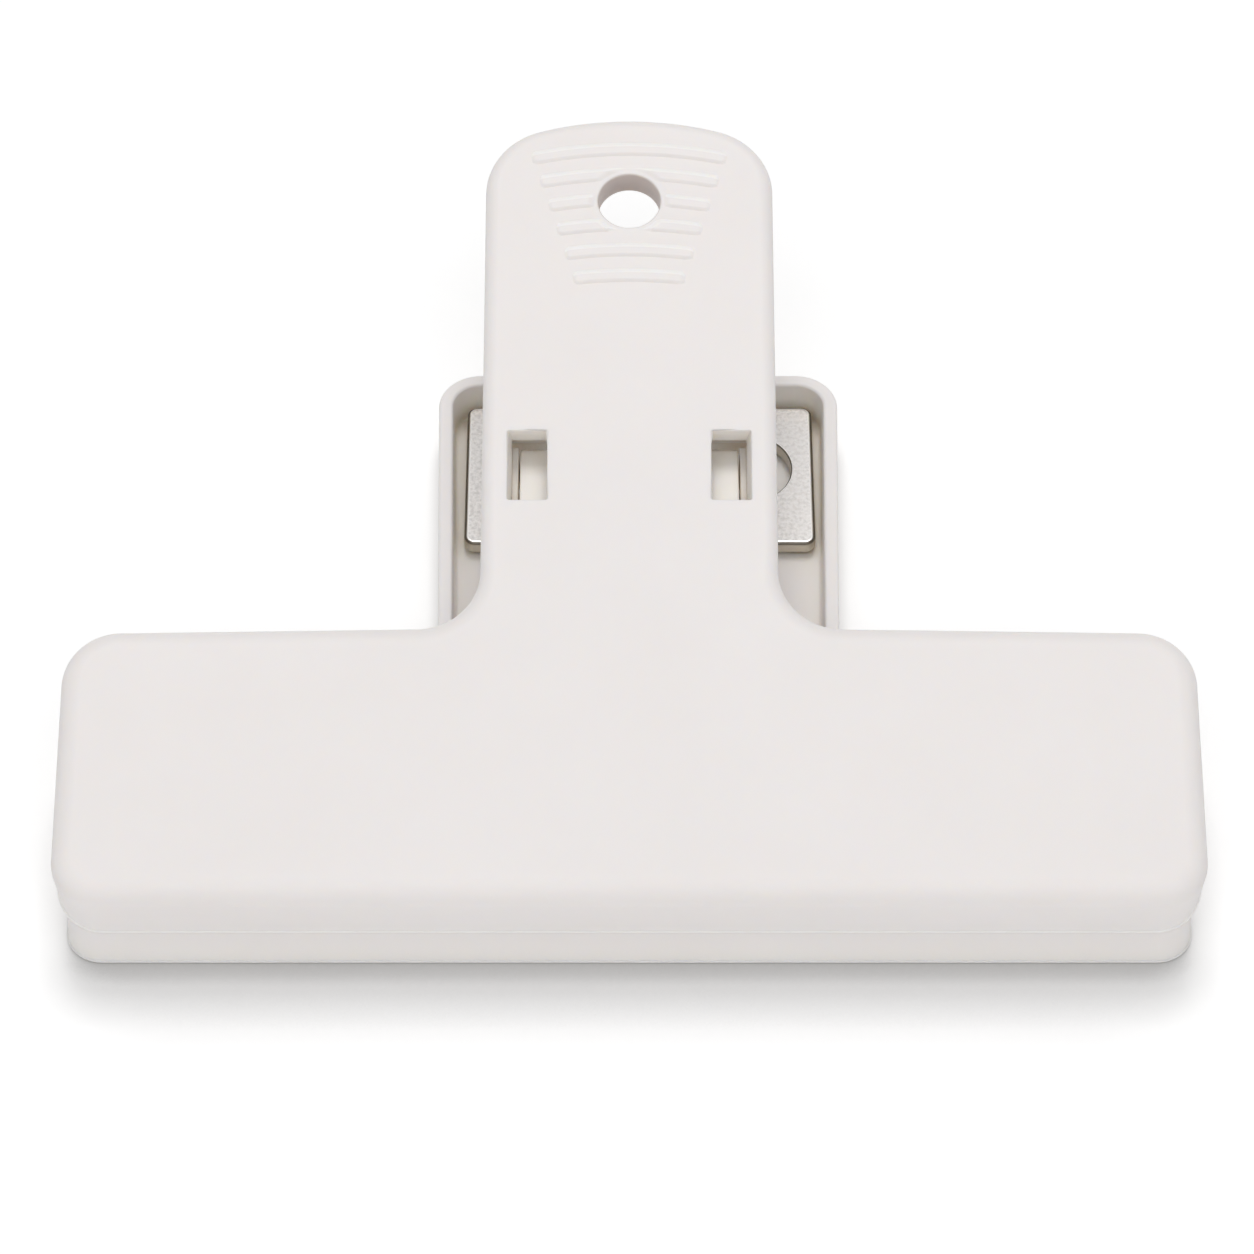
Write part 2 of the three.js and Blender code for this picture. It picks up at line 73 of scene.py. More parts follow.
# How finely round and straight stretches are divided
ARC_STEP = 0.35 * MM
STRAIGHT_STEP = 1.5 * MM
ROUND_STEPS = 10
SMALL_ROUND_STEPS = 4
BORE_SIDES = 64
TINY = 0.001 * MM
SHARP_ANGLE = math.radians(35)
BROAD_FACE = 100 * MM * MM

# How far a cutting tool reaches past what it cuts
OVERSHOOT = 1 * MM

# Front moulding, in its own frame, which starts at the hinge axis and leans back by its tilt
TILT = math.radians(13)
FRONT_UNDERSIDE = 4.5 * MM
FRONT_PLATE = 1.9 * MM
FRONT_TOP = FRONT_UNDERSIDE + FRONT_PLATE
FRONT_WALL = 1.8 * MM
JAW_HALF_WIDTH = FRONT_HIGH.x
JAW_FRONT = 43.2 * MM
JAW_BACK = 16 * MM
JAW_BACK_FALL = math.radians(0.85)
JAW_FRONT_CORNER = 4.3 * MM
JAW_BACK_CORNER = 5.2 * MM
JAW_EDGE_ROUND = 2 * MM
NECK_ROUND = 5.8 * MM
HANDLE_HALF_WIDTH = 13.48 * MM
HANDLE_LENGTH = 37.7 * MM
HANDLE_END_RADIUS = 31 * MM
HANDLE_CORNER = 7 * MM
HANDLE_EDGE_ROUND = 1.3 * MM
EDGE_ROUND_CHANGE = 8 * MM
SKIRT_AT_JAW = 7.5 * MM
SKIRT_AT_HANDLE_END = 3.1 * MM
FRONT_RIM_SLOPE = (SKIRT_AT_JAW - SKIRT_AT_HANDLE_END) / (JAW_FRONT + HANDLE_LENGTH)
FRONT_RIM_LEVEL = FRONT_TOP - SKIRT_AT_JAW + FRONT_RIM_SLOPE * JAW_FRONT
RIM_ROUND = 0.14 * MM
INNER_ROUND = 0.6 * MM
FRONT_PLACE = Matrix.Translation(HINGE) @ Matrix.Rotation(TILT, 4, "X")

# The parting line of both mouldings: a fine ledge close to their lower edge
LEDGE_DEPTH = 0.14 * MM
LEDGE_HEIGHT = 0.16 * MM
LEDGE_SLOPE = 0.03 * MM

# Hanging hole
HANG_HOLE_AT = HANDLE_LENGTH - 9.4 * MM
HANG_HOLE_RADIUS = 2.9 * MM
HANG_HOLE_DEPTH = 3 * MM
HANG_BOSS_WALL = 1.6 * MM
HANG_HOLE_EDGE = 0.22 * MM

# Grip ribs. The crest is the flat share of each rib's section.
RIB_COUNT = 6
RIB_END_MARGIN = 3.94 * MM
RIB_PITCH = 2.77 * MM
RIB_ARC_RADIUS = 40 * MM
RIB_REAR_BASE = 1.05 * MM
RIB_FRONT_BASE = 0.55 * MM
RIB_CREST = 0.45
RIB_HEIGHT = 0.18 * MM
RIB_SIDE_MARGIN = 4.25 * MM
RIB_SHORTENING = 0.79 * MM
RIB_SUNK = 0.01 * MM
RIB_STEP = 0.2 * MM
RIB_ROWS = 18
RIB_FREE_FROM = HANG_HOLE_RADIUS + 0.3 * MM
RIB_FREE_TO = HANG_HOLE_RADIUS + 1.0 * MM

# Windows over the hinge
WINDOW_OUTER = HANDLE_HALF_WIDTH - 2.33 * MM
WINDOW_INNER = WINDOW_OUTER - 3.65 * MM
WINDOW_DRAFT = 0.35 * MM
WINDOW_HALF_LENGTH = 3.6 * MM
WINDOW_CORNER = 0.18 * MM
WINDOW_EDGE = 0.12 * MM

# Ears and the bore through them
PIN_RADIUS = (PIN_HIGH.z - PIN_LOW.z) / 2
BORE_RADIUS = PIN_RADIUS + 0.3 * MM
FRONT_EAR_WALL = 1.65 * MM
FRONT_EAR_FLARE = 1.6 * MM
FRONT_EAR_INNER = WINDOW_OUTER - WINDOW_DRAFT
FRONT_EAR_OUTER = HANDLE_HALF_WIDTH - 0.3 * MM
REAR_EAR_OUTER = FRONT_EAR_INNER - 0.75 * MM
REAR_EAR_INNER = REAR_EAR_OUTER - 2.85 * MM
REAR_EAR_HALF_LENGTH = 3.6 * MM
REAR_EAR_FOOT = 4.4 * MM
REAR_EAR_TOP = REAR_HIGH.z
REAR_EAR_CORNER = 0.6 * MM
EAR_EDGE = 0.18 * MM
THRUST_PAD_HEIGHT = 2.3 * MM
THRUST_PAD_HALF_LENGTH = 4.2 * MM
THRUST_PAD_CORNER = 0.3 * MM
THRUST_GAP = 0.1 * MM

# Short walls that hang behind the rear ears and tie the front plate to its sides
GUSSET_AT = math.hypot(REAR_EAR_HALF_LENGTH, REAR_EAR_TOP - HINGE.z) + 0.32 * MM
GUSSET_THICKNESS = 1.2 * MM
GUSSET_DROP = 5.5 * MM
GUSSET_REACH = 0.2 * MM
GUSSET_CORNER = 0.3 * MM

# Rear moulding
REAR_JAW_FRONT = REAR_LOW.y
REAR_JAW_HALF_WIDTH = REAR_HIGH.x
REAR_JAW_BACK = -JAW_BACK * math.cos(TILT) + 0.4 * MM
REAR_JAW_CORNER = 3.4 * MM
REAR_JAW_HEIGHT = 4.2 * MM
REAR_JAW_LEAN = 0.4 * MM
TRAY_SHIFT = 0.86 * MM
TRAY_END = REAR_HIGH.y
TRAY_END_HALF_WIDTH = 19.3 * MM
TRAY_TAPER = math.radians(1.2)
TRAY_CORNER = 4 * MM
TRAY_HEIGHT = 6.1 * MM
TRAY_RAMP_LENGTH = 5 * MM
REAR_NECK_ROUND = 4 * MM
REAR_WALL = 1.35 * MM
REAR_DRAFT = 0.12 * MM
REAR_FLOOR = PAD_LOW.z
REAR_FLOOR_ROUND = 0.3 * MM
REAR_BASE_ROUND = 0.12 * MM
REAR_RIM_ROUND = 0.3 * MM

# Magnet plate, the shallow pocket that it lies in and the pad under it
TRAY_FLOOR = REAR_FLOOR + 0.92 * MM
TRAY_FLOOR_ROUND = 0.22 * MM
POCKET_STEP_AT = 8.2 * MM
POCKET_GAP = 0.09 * MM
POCKET_EDGE = 0.08 * MM
MAGNET_CORNER = 1 * MM
MAGNET_EDGE = 0.4 * MM
MAGNET_ROUND_STEPS = 8
MAGNET_HOLE_RADIUS = 4.2 * MM
MAGNET_HOLE_MARGIN = 2.15 * MM
MAGNET_HOLE_OFFSET = 0.8 * MM
MAGNET_HOLE_EDGE = 0.2 * MM
PAD_CORNER = 0.5 * MM
PAD_BULGE = 0.06 * MM

# Pin and spring
PIN_EDGE = 0.3 * MM
WIRE_RADIUS = 0.6 * MM
COIL_RADIUS = PIN_RADIUS + 0.75 * MM + WIRE_RADIUS
COIL_END_GAP = 1.8 * MM
COIL_TURNS = 6
COIL_STEPS_PER_TURN = 48
WIRE_SIDES = 16
FRONT_LEG_REACH = 10 * MM
REAR_LEG_INSET = 3.7 * MM
LEG_HOOK = 2.6 * MM
LEG_BEND = 1.3 * MM
LEG_STEPS = 12
SPRING_GAP = 0.3 * MM

# Materials: how far a surface looks for the recesses and tight corners that get painted shade
RECESS_REACH = 4 * MM
CORNER_REACH = 0.35 * MM

# Floor: its colour, and the reach and depth of its two painted shadows
FLOOR_GREY = 0.9
NEAR_SHADE_REACH = 3.2 * MM
NEAR_SHADE = 0.48
FAR_SHADE_REACH = 12.5 * MM
FAR_SHADE = 0.77


# Camera, floor and light

def make_camera():
    target = Vector((-0.21, -11.09, 10.0)) * MM
    elevation = math.radians(50)
    distance = 438.77 * MM
    data = bpy.data.cameras.new("camera")
    data.sensor_width = 36
    data.lens = 137.36
    data.clip_start = 0.01
    camera = bpy.data.objects.new("camera", data)
    camera.location = target + distance * Vector((0, -math.cos(elevation), math.sin(elevation)))
    camera.rotation_euler = (QUARTER_TURN - elevation, 0, 0)
    bpy.context.scene.collection.objects.link(camera)
    bpy.context.scene.camera = camera


def make_softbox(name, place, width, height, radiance):
    """A rectangular lamp that faces the object. Its radiance is as bright as a white of that strength."""
    data = bpy.data.lights.new(name, "AREA")
    data.shape = "RECTANGLE"
    data.size = width
    data.size_y = height
    data.energy = radiance * math.pi * width * height
    lamp = bpy.data.objects.new(name, data)
    lamp.location = place
    lamp.rotation_euler = Vector(place).to_track_quat("Z", "Y").to_euler()
    lamp.visible_camera = False
    bpy.context.scene.collection.objects.link(lamp)


def make_world(strength):
    world = bpy.data.worlds.new("studio")
    world.use_nodes = True
    bpy.context.scene.world = world
    nodes = world.node_tree.nodes
    links = world.node_tree.links
    light = nodes["Background"]
    light.inputs["Color"].default_value = (1, 1, 1, 1)
    light.inputs["Strength"].default_value = strength
    seen = nodes.new("ShaderNodeBackground")
    seen.inputs["Color"].default_value = (1, 1, 1, 1)
    path = nodes.new("ShaderNodeLightPath")
    mix = nodes.new("ShaderNodeMixShader")
    links.new(path.outputs["Is Camera Ray"], mix.inputs["Fac"])
    links.new(light.outputs["Background"], mix.inputs[1])
    links.new(seen.outputs["Background"], mix.inputs[2])
    links.new(mix.outputs["Shader"], nodes["World Output"].inputs["Surface"])


def make_floor(half_width, drop, lift):
    """A pale floor that keeps the soft shadow, with painted shadow where the object stands close behind
    it.

    Its lift is seen by the camera and in reflections only.
    """
    corners = [(-1, -1), (1, -1), (1, 1), (-1, 1)]
    mesh = bpy.data.meshes.new("floor")
    mesh.from_pydata([(half_width * x, half_width * y, -drop) for x, y in corners], [], [(0, 1, 2, 3)])
    floor = bpy.data.objects.new("floor", mesh)
    bpy.context.scene.collection.objects.link(floor)
    material = bpy.data.materials.new("pale_floor")
    material.use_nodes = True
    nodes = material.node_tree.nodes
    links = material.node_tree.links
    shader = nodes["Principled BSDF"]
    behind = nodes.new("ShaderNodeCombineXYZ")
    behind.inputs["Y"].default_value = 1
    near = openness(material, NEAR_SHADE_REACH, 0.5, 0.8, behind.outputs["Vector"], samples=12)
    far = openness(material, FAR_SHADE_REACH, 0.5, 0.85, behind.outputs["Vector"], samples=8)
    # Painted shadow, deepest close in front of the object
    shade = tint(material, near, grey(NEAR_SHADE), tint(material, far, grey(FAR_SHADE), grey(1.0)))
    links.new(shade, shader.inputs["Emission Color"])
    shader.inputs["Roughness"].default_value = 1
    shader.inputs["Specular IOR Level"].default_value = 0
    path = nodes.new("ShaderNodeLightPath").outputs
    links.new(tint(material, path["Is Camera Ray"], grey(FLOOR_GREY), shade), shader.inputs["Base Color"])
    seen = number_step(material, "MAXIMUM", path["Is Camera Ray"], path["Is Glossy Ray"])
    links.new(number_step(material, "MULTIPLY", seen, lift), shader.inputs["Emission Strength"])
    mesh.materials.append(material)


# Materials

def grey(level):
    return level, level, level


def new_material(name, colour, roughness, metallic=0.0):
    material = bpy.data.materials.new(name)
    material.use_nodes = True
    shader = material.node_tree.nodes["Principled BSDF"]
    shader.inputs["Base Color"].default_value = (*colour, 1)
    shader.inputs["Roughness"].default_value = roughness
    shader.inputs["Metallic"].default_value = metallic
    return material, shader


def noise(material, scale, detail=2.0, stretch=(1, 1, 1)):
    """A noise in the object's own coordinates, so that it stays put when the piece moves."""
    nodes = material.node_tree.nodes
    links = material.node_tree.links
    place = nodes.new("ShaderNodeTexCoord")
    mapping = nodes.new("ShaderNodeMapping")
    mapping.inputs["Scale"].default_value = stretch
    texture = nodes.new("ShaderNodeTexNoise")
    texture.inputs["Scale"].default_value = scale
    texture.inputs["Detail"].default_value = detail
    links.new(place.outputs["Object"], mapping.inputs["Vector"])
    links.new(mapping.outputs["Vector"], texture.inputs["Vector"])
    return texture.outputs["Fac"]


def spread(material, value, low, high, start=0.3, end=0.7):
    """Maps a value between a start and an end to a range of numbers. A noise lies between 0.3 and 0.7."""
    node = material.node_tree.nodes.new("ShaderNodeMapRange")
    node.inputs["From Min"].default_value = start
    node.inputs["From Max"].default_value = end
    node.inputs["To Min"].default_value = low
    node.inputs["To Max"].default_value = high
    material.node_tree.links.new(value, node.inputs["Value"])
    return node.outputs["Result"]


def tint(material, value, colour_a, colour_b):
    """Mixes two colours by a value from 0 to 1. A colour is three numbers or another node's output."""
    node = material.node_tree.nodes.new("ShaderNodeMix")
    node.data_type = "RGBA"
    for socket, colour in (("A", colour_a), ("B", colour_b)):
        if isinstance(colour, tuple):
            node.inputs[socket].default_value = (*colour, 1)
        else:
            material.node_tree.links.new(colour, node.inputs[socket])
    material.node_tree.links.new(value, node.inputs["Factor"])
    return node.outputs["Result"]


def ramp(material, value, stops):
    """Colours along a value, from stops of (place, colour)."""
    node = material.node_tree.nodes.new("ShaderNodeValToRGB")
    elements = node.color_ramp.elements
    while len(elements) < len(stops):
        elements.new(0.5)
    for element, (place, colour) in zip(elements, stops):
        element.position = place
        element.color = (*colour, 1)
    material.node_tree.links.new(value, node.inputs["Fac"])
    return node.outputs["Color"]


def openness(material, distance, start, end, heading=None, samples=4):
    """How open a place is within a distance, from 0 in a recess to 1 on an open face.

    It looks along the surface's normal, or along a heading that another node gives.
    """
    node = material.node_tree.nodes.new("ShaderNodeAmbientOcclusion")
    node.samples = samples
    node.inputs["Distance"].default_value = distance
    if heading is not None:
        material.node_tree.links.new(heading, node.inputs["Normal"])
    return spread(material, node.outputs["AO"], 0, 1, start, end)


def bump(material, shader, layers):
    """Adds layers of (height, strength, depth) to the shader's normal."""
    nodes = material.node_tree.nodes
    links = material.node_tree.links
    below = None
    for height, strength, depth in layers:
        node = nodes.new("ShaderNodeBump")
        node.inputs["Strength"].default_value = strength
        node.inputs["Distance"].default_value = depth
        links.new(height, node.inputs["Height"])
        if below is not None:
            links.new(below, node.inputs["Normal"])
        below = node.outputs["Normal"]
    links.new(below, shader.inputs["Normal"])


def number_step(material, operation, value, other):
    """One sum on a node's output and a number or a second output."""
    node = material.node_tree.nodes.new("ShaderNodeMath")
    node.operation = operation
    material.node_tree.links.new(value, node.inputs[0])
    if isinstance(other, float):
        node.inputs[1].default_value = other
    else:
        material.node_tree.links.new(other, node.inputs[1])
    return node.outputs["Value"]


def vector_step(material, operation, value, other=(0, 0, 0)):
    """One sum on a node's vector and a constant vector. The result is in Vector or in Value."""
    node = material.node_tree.nodes.new("ShaderNodeVectorMath")
    node.operation = operation
    node.inputs[1].default_value = other
    material.node_tree.links.new(value, node.inputs[0])
    return node.outputs


def moulding_place(material, origin, lean):
    """A point's place in a moulding's own frame, which stays put when the moulding turns."""
    nodes = material.node_tree.nodes
    place = nodes.new("ShaderNodeTexCoord")
    upright = nodes.new("ShaderNodeMapping")
    upright.vector_type = "TEXTURE"
    upright.inputs["Location"].default_value = origin
    upright.inputs["Rotation"].default_value = (lean, 0, 0)
    material.node_tree.links.new(place.outputs["Object"], upright.inputs["Vector"])
    return upright.outputs["Vector"]


def on_parting_line(material, place, slope, level):
    """1 on the fine band above a moulding's lower edge, which lies at a level that changes with Y."""
    height = vector_step(material, "DOT_PRODUCT", place, (0, -slope, 1))["Value"]
    above = spread(material, height, 0, 1, level + 0.01 * MM, level + 0.04 * MM)
    below = spread(material, height, 1, 0, level + LEDGE_HEIGHT + LEDGE_SLOPE, level + 1.5 * LEDGE_HEIGHT)
    return number_step(material, "MULTIPLY", above, below)


def painted_ridge_shading(material, place, lean, level, skin_colour, painted_edge_shading, painted_front_shade):
    """Gives what stands proud of a level a painted highlight on its rear slopes and painted shade on its
    front slopes.
    """
    height = vector_step(material, "DOT_PRODUCT", place, (0, 0, 1))["Value"]
    proud = spread(material, height, 0, 1, level, level + 0.1 * RIB_HEIGHT)
    normal = material.node_tree.nodes.new("ShaderNodeTexCoord").outputs["Normal"]
    slant = vector_step(material, "DOT_PRODUCT", normal, (0, math.cos(lean), math.sin(lean)))["Value"]
    # Painted highlight on the rear slopes, painted shade on the front slopes
    ridge = tint(material, spread(material, slant, 0, 1, 0.03, 0.15), skin_colour, painted_edge_shading)
    ridge = tint(material, spread(material, slant, 1, 0, -0.3, -0.05), ridge, painted_front_shade)
    return tint(material, proud, skin_colour, ridge)


def outside_hole(material, place):
    """0 on the wall of the hanging hole and 1 a little way outside it."""
    from_hole = vector_step(material, "SUBTRACT", place, (0, HANG_HOLE_AT, 0))["Vector"]
    across = vector_step(material, "MULTIPLY", from_hole, (1, 1, 0))["Vector"]
    reach = vector_step(material, "LENGTH", across)["Value"]
    return spread(material, reach, 0, 1, HANG_HOLE_RADIUS + 0.01 * MM, HANG_HOLE_RADIUS + 0.15 * MM)


def white_plastic(name, origin, lean, slope, level, face_level):
    """Satin moulded plastic: a warm white with a fine even grain, and painted light and shade in its
    colour.

    Its recesses get a painted cream glow and the deepest of them painted tan shade. Tight corners get
    painted tan shade, the parting line a painted highlight and the wall of the hanging hole painted shade.
    What stands proud of the face gets a painted highlight on its rear slopes and painted shade on its
    front slopes. The moulding's own frame has an origin and a lean, its lower edge has a slope and a
    level, and its face has a level.
    """
    pale = (0.895, 0.860, 0.850)
    warm = (0.883, 0.847, 0.834)
    # Painted light: a warm glow for recesses and tan shade for the deepest of them
    painted_recess_glow = (0.99, 0.94, 0.87)
    tan = (0.78, 0.68, 0.54)
    # Painted shade for tight corners
    corner = (0.62, 0.53, 0.43)
    # A painted highlight, on the parting line and on the rear slopes of the ribs
    edge = (0.99, 0.965, 0.945)
    # Painted shade for the front slopes of the ribs
    painted_front_shade = (0.85, 0.815, 0.80)
    # Painted shade for the wall of the hanging hole
    dark_grain_and_hole_shade = (0.70, 0.63, 0.60)
    material, shader = new_material(name, pale, 0.48)
    links = material.node_tree.links
    clouds = noise(material, scale=90, detail=3)
    face = tint(material, spread(material, clouds, 0, 1), pale, warm)
    # Painted glow and shade in recesses, by how closed in a place is
    open_face = openness(material, RECESS_REACH, 0, 1)
    painted_recess_shading = tint(material, spread(material, open_face, 0, 1, 0, 0.15), tan, painted_recess_glow)
    skin_colour = tint(material, spread(material, open_face, 0, 1, 0.35, 0.95), painted_recess_shading, face)
    # Painted shade in tight corners and contact lines
    tight = openness(material, CORNER_REACH, 0.4, 0.7)
    skin_colour = tint(material, tight, corner, skin_colour)
    place = moulding_place(material, origin, lean)
    # Painted highlight along the parting line
    skin_colour = tint(material, on_parting_line(material, place, slope, level), skin_colour, edge)
    # Painted highlight on the rear slopes of the ribs, painted shade on their front slopes
    skin_colour = painted_ridge_shading(material, place, lean, face_level, skin_colour, edge, painted_front_shade)
    # Painted shade on the wall of the hanging hole
    skin_colour = tint(material, outside_hole(material, place), dark_grain_and_hole_shade, skin_colour)
    links.new(skin_colour, shader.inputs["Base Color"])
    grain = noise(material, scale=5200, detail=2)
    links.new(spread(material, grain, 0.44, 0.54), shader.inputs["Roughness"])
    shader.inputs["Specular IOR Level"].default_value = 0.3
    shader.inputs["Subsurface Weight"].default_value = 0.5
    shader.inputs["Subsurface Radius"].default_value = (1.0, 0.88, 0.7)
    shader.inputs["Subsurface Scale"].default_value = 1.2 * MM
    waves = noise(material, scale=260, detail=1)
    bump(material, shader, [(waves, 0.15, 0.02 * MM), (grain, 0.12, 0.01 * MM)])
    return material


def nickel():
    """Plating with a fine mottled grain, a painted glint where its round edges start, a dark painted
    reflection below it and painted shade on its sides.
    """
    bright = (0.87, 0.845, 0.825)
    dark_grain_and_hole_shade = (0.64, 0.62, 0.60)
    # Painted light: shade on the sides, a dark reflection low on the round edges and a glint where they
    # start
    side = (0.60, 0.55, 0.47)
    painted_edge_shading = (0.20, 0.18, 0.15)
    painted_glint = (1.0, 0.98, 0.95)
    material, shader = new_material("nickel_plating", bright, 0.35, 1.0)
    links = material.node_tree.links
    mottle = noise(material, scale=2500, detail=4)
    surface = tint(material, spread(material, mottle, 0, 1, 0.35, 0.62), dark_grain_and_hole_shade, bright)
    normal = material.node_tree.nodes.new("ShaderNodeNewGeometry").outputs["True Normal"]
    upward = vector_step(material, "DOT_PRODUCT", normal, (0, 0, 1))["Value"]
    stops = [(0.1, side), (0.35, side), (0.55, painted_edge_shading), (0.88, painted_edge_shading), (0.93, painted_glint), (1, painted_glint)]
    # Painted light on the sides and round edges, by how far the face turns from upright
    edge = ramp(material, upward, stops)
    flat = spread(material, upward, 0, 1, 0.996, 0.999)
    links.new(tint(material, flat, edge, surface), shader.inputs["Base Color"])
    links.new(spread(material, mottle, 0.45, 0.3), shader.inputs["Roughness"])
    bump(material, shader, [(mottle, 0.35, 0.02 * MM)])
    return material


def drawn_steel(name, colour, stretch):
    """Drawn steel with fine lines along the wire or pin."""
    material, shader = new_material(name, colour, 0.32, 1.0)
    links = material.node_tree.links
    lines = noise(material, scale=3000, detail=3, stretch=stretch)
    dark_grain_and_hole_shade = tuple(0.82 * channel for channel in colour)
    links.new(tint(material, spread(material, lines, 0, 1), dark_grain_and_hole_shade, colour), shader.inputs["Base Color"])
    links.new(spread(material, lines, 0.26, 0.42), shader.inputs["Roughness"])
    bump(material, shader, [(lines, 0.2, 0.01 * MM)])
    return material


def bonding_pad():
    """A thin, slightly uneven foam tape."""
    material, shader = new_material("bonding_pad", (0.62, 0.59, 0.52), 0.7)
    links = material.node_tree.links
    cells = noise(material, scale=1800, detail=3)
    colour = tint(material, spread(material, cells, 0, 1), (0.56, 0.53, 0.46), (0.66, 0.63, 0.56))
    links.new(colour, shader.inputs["Base Color"])
    links.new(spread(material, cells, 0.62, 0.8), shader.inputs["Roughness"])
    bump(material, shader, [(cells, 0.4, 0.03 * MM)])
    return material


# Outlines: closed, counter-clockwise, through corners of (x, y, radius)

def corner_arc(before, corner, after, inset):
    """The points of one rounded corner, drawn in by an inset. Their number doesn't depend on the inset."""
    x, y, radius = corner
    here = Vector((x, y))
    arriving = (here - Vector(before[:2])).normalized()
    leaving = (Vector(after[:2]) - here).normalized()
    left_arriving = Vector((-arriving.y, arriving.x))
    left_leaving = Vector((-leaving.y, leaving.x))
    turn = math.atan2(arriving.cross(leaving), arriving.dot(leaving))
    tip = here + (left_arriving + left_leaving) * inset / (1 + left_arriving.dot(left_leaving))
    if radius == 0:
        return [tip]
    side = math.copysign(1, turn)
    arc = radius - side * inset
    start = tip - arriving * arc * math.tan(abs(turn) / 2)
    centre = start + left_arriving * side * arc
    steps = max(SMALL_ROUND_STEPS, math.ceil(radius * abs(turn) / ARC_STEP))
    spoke = start - centre
    return [centre + Matrix.Rotation(turn * k / steps, 2) @ spoke for k in range(steps + 1)]


def rounded_outline(corners, inset=0.0):
    count = len(corners)

    def arcs(drawn_in):
        around = range(count)
        return [corner_arc(corners[i - 1], corners[i], corners[(i + 1) % count], drawn_in) for i in around]

    plain = arcs(0.0)
    drawn = arcs(inset)
    points = []
    for i, arc in enumerate(drawn):
        following = (i + 1) % count
        straight = (plain[following][0] - plain[i][-1]).length
        pieces = math.ceil(straight / STRAIGHT_STEP) if straight > TINY else 0
        points += arc if pieces else arc[:-1]
        points += [arc[-1].lerp(drawn[following][0], k / pieces) for k in range(1, pieces)]
    return points


def box_corners(low, high, radius):
    """The corners of an upright box, each with the same radius."""
    corners = [(high.x, low.y), (high.x, high.y), (low.x, high.y), (low.x, low.y)]
    return [(x, y, radius) for x, y in corners]


def smooth_step(value, start, end):
    share = min(max((value - start) / (end - start), 0), 1)
    return share * share * (3 - 2 * share)


def quarter(radius, steps):
    """The (inset, drop) pairs of a quarter round, from the side of an edge to its top."""
    angles = [QUARTER_TURN * k / steps for k in range(steps + 1)]
    return [(radius * (1 - math.cos(a)), radius * (1 - math.sin(a))) for a in angles]


# Solids

def new_object(name, vertices, faces):
    mesh = bpy.data.meshes.new(name)
    mesh.from_pydata(vertices, [], faces)
    shape = bmesh.new()
    shape.from_mesh(mesh)
    bmesh.ops.recalc_face_normals(shape, faces=shape.faces)
    shape.to_mesh(mesh)
    shape.free()
    made = bpy.data.objects.new(name, mesh)
    bpy.context.scene.collection.objects.link(made)
    return made


def skin(name, rings, place=Matrix.Identity(4)):
    """Skins a stack of equal rings of points and closes it at both ends."""
    count = len(rings[0])
    vertices = [place @ Vector(point) for ring in rings for point in ring]
    faces = [tuple(range(count)), tuple(range(len(vertices) - count, len(vertices)))]
    for row in range(len(rings) - 1):
        for i in range(count):
            a = row * count + i
            b = row * count + (i + 1) % count
            faces.append((a, b, b + count, a + count))
    return new_object(name, vertices, faces)


def wall_rings(corners, wall):
    """Gives a function that makes rings along a wall, from functions of Y for their inset and height."""
    outer = rounded_outline(corners)
    inner = rounded_outline(corners, wall)

    def ring(inset, height):
        points = []
        for outside, inside in zip(outer, inner):
            place = outside.lerp(inside, inset(outside.y) / wall)
            points.append((place.x, place.y, height(outside.y)))
        return points

    return ring


def turned(name, profile, place=Matrix.Identity(4)):
    """A solid of revolution about Z from a profile of (radius, height)."""
    angles = [FULL_TURN * k / BORE_SIDES for k in range(BORE_SIDES)]
    rings = [[(r * math.cos(a), r * math.sin(a), z) for a in angles] for r, z in profile]
    return skin(name, rings, place)


def hole_profile(radius, edge, low, high):
    """The profile of a tool that cuts a hole with softened edges through a plate."""
    profile = [(radius + edge, low - OVERSHOOT)]
    for out, drop in quarter(edge, SMALL_ROUND_STEPS)[::-1]:
        profile.append((radius + out, low + drop))
    for out, drop in quarter(edge, SMALL_ROUND_STEPS):
        profile.append((radius + out, high - drop))
    profile.append((radius + edge, high + OVERSHOOT))
    return profile


def combine(body, tool, operation):
    """Joins the tool to the body, or cuts it out of the body. The tool is used up."""
    step = body.modifiers.new("step", "BOOLEAN")
    step.operation = operation
    step.solver = "EXACT"
    step.object = tool
    graph = bpy.context.evaluated_depsgraph_get()
    mesh = bpy.data.meshes.new_from_object(body.evaluated_get(graph))
    body.modifiers.clear()
    body.data = mesh
    bpy.data.objects.remove(tool)


def cross_plate(name, corners, from_x, to_x, edge):
    """A plate in the YZ plane with soft edges, standing between two places on X."""
    rings = []
    for inset, drop in reversed(quarter(edge, SMALL_ROUND_STEPS)):
        rings.append([(from_x + drop, *point) for point in rounded_outline(corners, inset)])
    for inset, drop in quarter(edge, SMALL_ROUND_STEPS):
        rings.append([(to_x - drop, *point) for point in rounded_outline(corners, inset)])
    return skin(name, rings)


def sided_plate(name, corners, side, inner, outer):
    """A cross plate on one side, between two distances from the middle."""
    low, high = sorted((side * inner, side * outer))
    return cross_plate(name, corners, low, high, EAR_EDGE)


def bore_cutter(half_length):
    """A round bar along X through the hinge axis of the piece's own frame."""
    return turned("bore", [(BORE_RADIUS, -half_length), (BORE_RADIUS, half_length)], ALONG_X)


